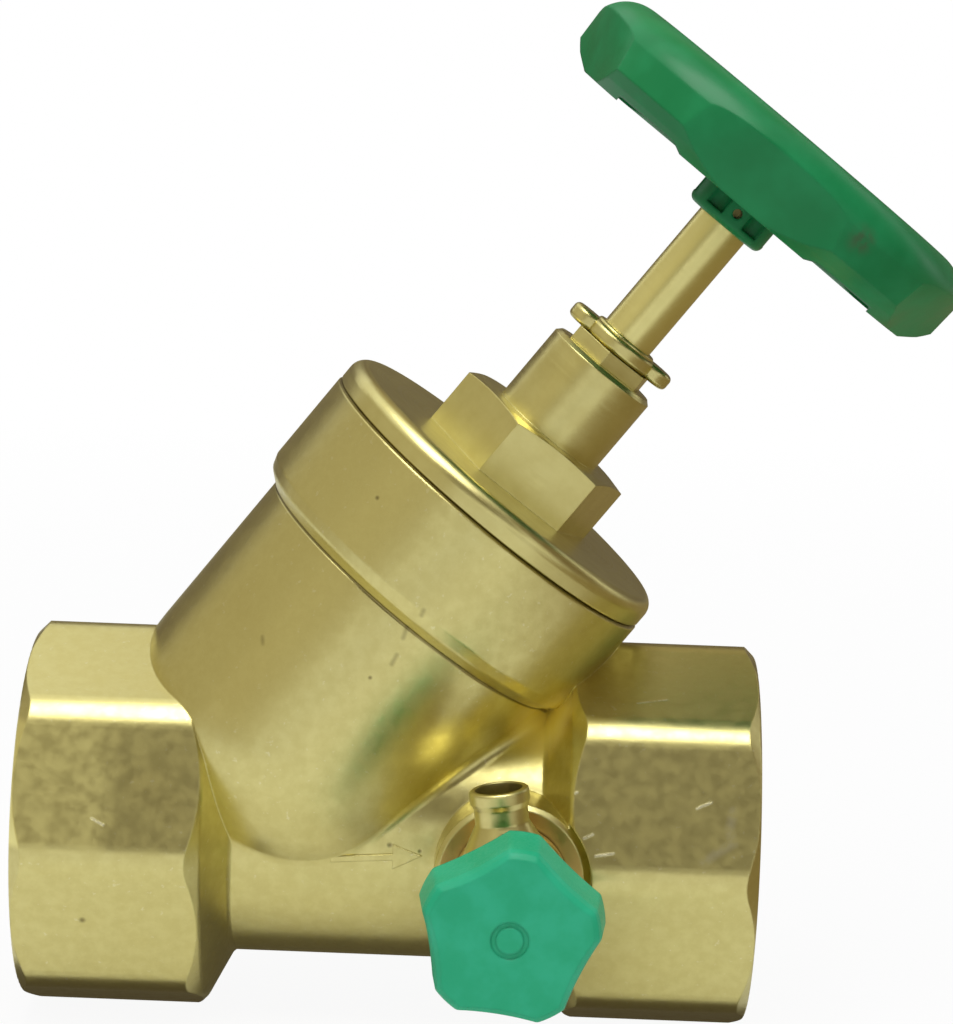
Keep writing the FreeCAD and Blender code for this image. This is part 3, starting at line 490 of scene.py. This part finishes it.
def wheel_plastic():
    """Smooth dark green plastic with faint flow marks and one brown smudge."""
    finish = Finish("handwheel_green")
    finish.shader.inputs["Specular IOR Level"].default_value = 0.27
    cloud = finish.noise(size=14 * MM)
    skin = finish.noise(size=0.7 * MM, detail=2.0)
    patchy = finish.ramp(finish.noise(size=2.2 * MM), 0.35, 0.6, out_low=0.15, out_high=0.6)
    smudge = finish.times(finish.spot(WHEEL_SMUDGE_PLACE, WHEEL_SMUDGE_RADIUS), patchy)
    colour = finish.mix(finish.ramp(cloud, 0.35, 0.7), WHEEL_GREEN, WHEEL_GREEN_PALE)
    colour = finish.mix(smudge, colour, WHEEL_SMUDGE)
    finish.raise_surface(skin, depth=0.006 * MM)
    finish.raise_surface(cloud, depth=0.05 * MM)
    roughness = finish.spread(cloud, out_low=0.30, out_high=0.40)
    return finish.done(colour, roughness, edge_radius=0.8 * MM)


def knob_plastic():
    """Satin bluish green plastic with a fine moulded skin."""
    finish = Finish("knob_green")
    finish.shader.inputs["Specular IOR Level"].default_value = 0.42
    cloud = finish.noise(size=7 * MM)
    skin = finish.noise(size=0.5 * MM, detail=2.0)
    colour = finish.mix(finish.ramp(cloud, 0.35, 0.7), KNOB_GREEN, KNOB_GREEN_PALE)
    finish.raise_surface(skin, depth=0.008 * MM)
    finish.raise_surface(cloud, depth=0.03 * MM)
    roughness = finish.spread(skin, out_low=0.40, out_high=0.52)
    return finish.done(colour, roughness, edge_radius=0.8 * MM)


def seal_rubber():
    """Matt black rubber with a dusty bloom."""
    finish = Finish("seal_rubber")
    bloom = finish.noise(size=3 * MM)
    skin = finish.noise(size=0.4 * MM, detail=2.0)
    colour = finish.mix(finish.ramp(bloom, 0.4, 0.7, out_high=0.4), RUBBER_BLACK, RUBBER_BLOOM)
    finish.raise_surface(skin, depth=0.01 * MM)
    roughness = finish.spread(bloom, out_low=0.6, out_high=0.75)
    return finish.done(colour, roughness, edge_radius=0.3 * MM)


def zinc_steel():
    """Zinc-plated steel with turning lines round the branch axis."""
    finish = Finish("fastener_steel")
    finish.shader.inputs["Metallic"].default_value = 1.0
    lines = finish.lathe_lines(0.3 * MM, BRANCH_FOOT, BRANCH_AXIS)
    bloom = finish.noise(size=2.5 * MM)
    colour = finish.mix(finish.ramp(bloom, 0.4, 0.7, out_high=0.5), STEEL_GREY, STEEL_BLOOM)
    finish.raise_surface(lines, depth=0.005 * MM)
    roughness = finish.spread(bloom, out_low=0.26, out_high=0.40)
    return finish.done(colour, roughness, edge_radius=0.3 * MM)


def dress(node, material):
    """Gives a CAD node its finish."""
    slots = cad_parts[node].data.materials
    slots.clear()
    slots.append(material)


# Small pieces on the body

def new_piece(name, mesh, material, body):
    """Finished piece from a bmesh: doubles merged, faces outwards, riding on a body."""
    bmesh.ops.remove_doubles(mesh, verts=mesh.verts, dist=MERGE_DISTANCE)
    bmesh.ops.recalc_face_normals(mesh, faces=mesh.faces)
    piece = add_object(name, mesh_data(name, mesh, material))
    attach(piece, body)


def pipe_thread(name, mouth, inwards, material):
    """Helical ridge of a female pipe thread, spun inwards from the mouth of a socket."""
    mesh = bmesh.new()
    flank = THREAD_FLANK_SHARE * THREAD_PITCH
    land = THREAD_LAND_SHARE * THREAD_PITCH
    start = mouth + inwards * THREAD_PITCH
    corners = [(-flank, THREAD_ROOT), (-land, THREAD_CREST), (land, THREAD_CREST), (flank, THREAD_ROOT)]
    ring = [mesh.verts.new((start + along, 0, radius)) for along, radius in corners]
    face = mesh.faces.new(ring)
    geometry = ring + list(face.edges) + [face]
    steps = THREAD_TURNS * THREAD_STEPS_PER_TURN
    advance = Vector((inwards * THREAD_PITCH / THREAD_STEPS_PER_TURN, 0, 0))
    turn = 2 * math.pi * THREAD_TURNS
    bmesh.ops.spin(mesh, geom=geometry, cent=(0, 0, 0), axis=PIPE_AXIS, dvec=advance, angle=turn, steps=steps)
    new_piece(name, mesh, material, "valve")


def lay_on_tube(x, angle, height):
    """Point on the tube's skin at an angle below the horizontal, lifted by a height."""
    radius = TUBE_RADIUS + height
    return Vector((x, -radius * math.cos(angle), -radius * math.sin(angle)))


def flow_arrow(material):
    """Raised arrow on the tube that shows the direction of flow."""
    outline = [
        (ARROW_START, -ARROW_SHAFT_HALF), (ARROW_NECK, -ARROW_SHAFT_HALF), (ARROW_NECK, -ARROW_HEAD_HALF),
        (ARROW_TIP, 0.0), (ARROW_NECK, ARROW_HEAD_HALF), (ARROW_NECK, ARROW_SHAFT_HALF),
        (ARROW_START, ARROW_SHAFT_HALF),
    ]
    mesh = bmesh.new()
    face = mesh.faces.new([mesh.verts.new((x, side, -ARROW_SINK)) for x, side in outline])
    top = bmesh.ops.extrude_face_region(mesh, geom=[face])
    lifted = [item for item in top["geom"] if isinstance(item, bmesh.types.BMVert)]
    bmesh.ops.translate(mesh, verts=lifted, vec=(0, 0, ARROW_HEIGHT + ARROW_SINK))
    for vert in mesh.verts:
        rise = ARROW_RISE * (vert.co.x - ARROW_START) / (ARROW_TIP - ARROW_START)
        vert.co = lay_on_tube(vert.co.x, ARROW_TURN - (vert.co.y + rise) / TUBE_RADIUS, vert.co.z)
    new_piece("flow_arrow", mesh, material, "valve")


# Studio

def studio_camera():
    camera = bpy.data.cameras.new("camera")
    camera.lens = CAMERA_LENS
    camera.sensor_width = SENSOR_WIDTH
    camera.dof.use_dof = False
    holder = add_object("camera", camera)
    level = aimed(CAMERA_PLACE, CAMERA_TARGET - CAMERA_PLACE, "-Z")
    holder.matrix_world = level @ Matrix.Rotation(CAMERA_ROLL, 4, "Z")
    bpy.context.scene.camera = holder


def white_rays(tree):
    """1 for rays that show the white background: camera, glossy and transmission rays."""
    rays = add_node(tree, "ShaderNodeLightPath").outputs
    white = rays["Is Camera Ray"]
    for name in ("Is Glossy Ray", "Is Transmission Ray"):
        white = add_node(tree, "ShaderNodeMath", {0: white, 1: rays[name]}, operation="MAXIMUM").outputs[0]
    return white


def studio_world():
    """White background that gives matt surfaces a weaker fill light."""
    world = bpy.data.worlds.new("studio")
    world.use_nodes = True
    bpy.context.scene.world = world
    tree = world.node_tree
    level = add_node(tree, "ShaderNodeMapRange", {"Value": white_rays(tree), "To Min": WORLD_FILL})
    background = tree.nodes["Background"]
    background.inputs["Color"].default_value = WHITE
    tree.links.new(level.outputs["Result"], background.inputs["Strength"])


def stage_material(name):
    """Material with no nodes yet, for the floor or a card."""
    material = bpy.data.materials.new(name)
    material.use_nodes = True
    material.node_tree.nodes.clear()
    return material


def studio_floor():
    """Pale floor that stays near white and keeps the valve's shadow."""
    pale = stage_material("pale_floor")
    tree = pale.node_tree
    matt = add_node(tree, "ShaderNodeBsdfDiffuse", {"Color": FLOOR_GREY})
    glow = add_node(tree, "ShaderNodeEmission")
    place = add_node(tree, "ShaderNodeTexCoord").outputs["Object"]
    away = add_node(tree, "ShaderNodeVectorMath", {0: place, 1: CAMERA_TARGET}, operation="DISTANCE")
    far = add_node(tree, "ShaderNodeMapRange", {
        "Value": away.outputs["Value"], "From Min": FLOOR_NEAR, "From Max": FLOOR_FAR,
        "To Min": FLOOR_WHITE - FLOOR_WHITE_MIRRORED, "To Max": 1.0 - FLOOR_WHITE_MIRRORED,
    })
    camera_ray = add_node(tree, "ShaderNodeLightPath").outputs["Is Camera Ray"]
    seen = add_node(tree, "ShaderNodeMath", {0: camera_ray, 1: far.outputs["Result"]}, operation="MULTIPLY")
    shares = {0: white_rays(tree), 1: FLOOR_WHITE_MIRRORED, 2: seen.outputs[0]}
    share = add_node(tree, "ShaderNodeMath", shares, operation="MULTIPLY_ADD").outputs[0]
    blend = add_node(tree, "ShaderNodeMixShader", {"Fac": share, 1: matt.outputs[0], 2: glow.outputs[0]})
    add_node(tree, "ShaderNodeOutputMaterial", {"Surface": blend.outputs[0]})
    mesh = bmesh.new()
    bmesh.ops.create_grid(mesh, x_segments=1, y_segments=1, size=FLOOR_HALF)
    bmesh.ops.translate(mesh, verts=mesh.verts, vec=(0, 0, FLOOR_LEVEL))
    floor = add_object("floor", mesh_data("floor", mesh, pale))


def lamp(name, place, target, size, radiance):
    """Square soft lamp of a given brightness, aimed at a target."""
    light = bpy.data.lights.new(name, "AREA")
    light.size = size
    light.energy = radiance * math.pi * size * size
    holder = add_object(name, light)
    holder.matrix_world = aimed(place, target - place, "-Z")


def around(azimuth, elevation):
    """Direction seen from the valve; azimuth 0 is the camera's side and 90 the right."""
    turn = math.radians(azimuth)
    rise = math.radians(elevation)
    return Vector((math.sin(turn) * math.cos(rise), -math.cos(turn) * math.cos(rise), math.sin(rise)))


def flag(name, place, facing, width, height, tone):
    """Toned card that only shows in reflections."""
    card = stage_material(name)
    glow = add_node(card.node_tree, "ShaderNodeEmission", {"Color": tone + (1,)})
    add_node(card.node_tree, "ShaderNodeOutputMaterial", {"Surface": glow.outputs[0]})
    mesh = bmesh.new()
    bmesh.ops.create_grid(mesh, x_segments=1, y_segments=1, size=UNIT_SQUARE_HALF)
    bmesh.ops.scale(mesh, vec=(width, height, 1), verts=mesh.verts)
    bmesh.ops.transform(mesh, matrix=aimed(place, facing, "Z"), verts=mesh.verts)
    board = add_object(name, mesh_data(name, mesh, card))
    board.visible_camera = False
    board.visible_diffuse = False
    board.visible_shadow = False
    board.visible_transmission = False


# The valve: its finishes, then its threads and arrow
body_brass = forged_brass()
branch_brass = turned_brass("turned_brass", BRANCH_FOOT, BRANCH_AXIS, dark=lid_seam)
stem_brass = turned_brass("turned_brass_stem", BRANCH_FOOT, BRANCH_AXIS, STEM_POLISH, pin_shade)
drain_brass = turned_brass("turned_brass_drain", DRAIN_FOOT, DRAIN_AXIS)
wheel_green = wheel_plastic()
knob_green = knob_plastic()
rubber = seal_rubber()
steel = zinc_steel()

nodes_by_finish = [
    (body_brass, ["valve_body"]),
    (branch_brass, ["bonnet", "gland_nut", "gland_plate", "disc", "disc_washer", "disc_nut"]),
    (stem_brass, ["stem"]),
    (drain_brass, ["drain_body", "drain_gland", "drain_plunger", "drain_stem"]),
    (wheel_green, ["handwheel"]),
    (knob_green, ["drain_knob"]),
    (rubber, ["bonnet_seal", "stem_o_ring_lower", "stem_o_ring_upper", "disc_seal", "drain_body_seal",
              "drain_o_ring", "drain_seal"]),
    (steel, ["disc_snap_ring", "handwheel_washer", "handwheel_screw"]),
]
for material, nodes in nodes_by_finish:
    for node in nodes:
        dress(node, material)

pipe_thread("inlet_thread", 0.0, 1, body_brass)
pipe_thread("outlet_thread", BODY_LENGTH, -1, body_brass)
flow_arrow(body_brass)

# The studio round it
studio_camera()
studio_world()
studio_floor()
lamp("overhead_softbox", LAMP_PLACE, CAMERA_TARGET, LAMP_SIZE, LAMP_RADIANCE)
for name, azimuth, elevation, width, height, tone in CARDS_ROUND_VALVE:
    direction = around(azimuth, elevation)
    flag(name, CAMERA_TARGET + CARD_DISTANCE * direction, direction, width, height, tone)
upwards = Vector((0, 0, 1))
for name, x, y, lift, width, depth, tone in CARDS_ON_FLOOR:
    flag(name, Vector((x, y, FLOOR_LEVEL + lift)), upwards, width, depth, tone)
bpy.context.scene.view_settings.view_transform = "Standard"
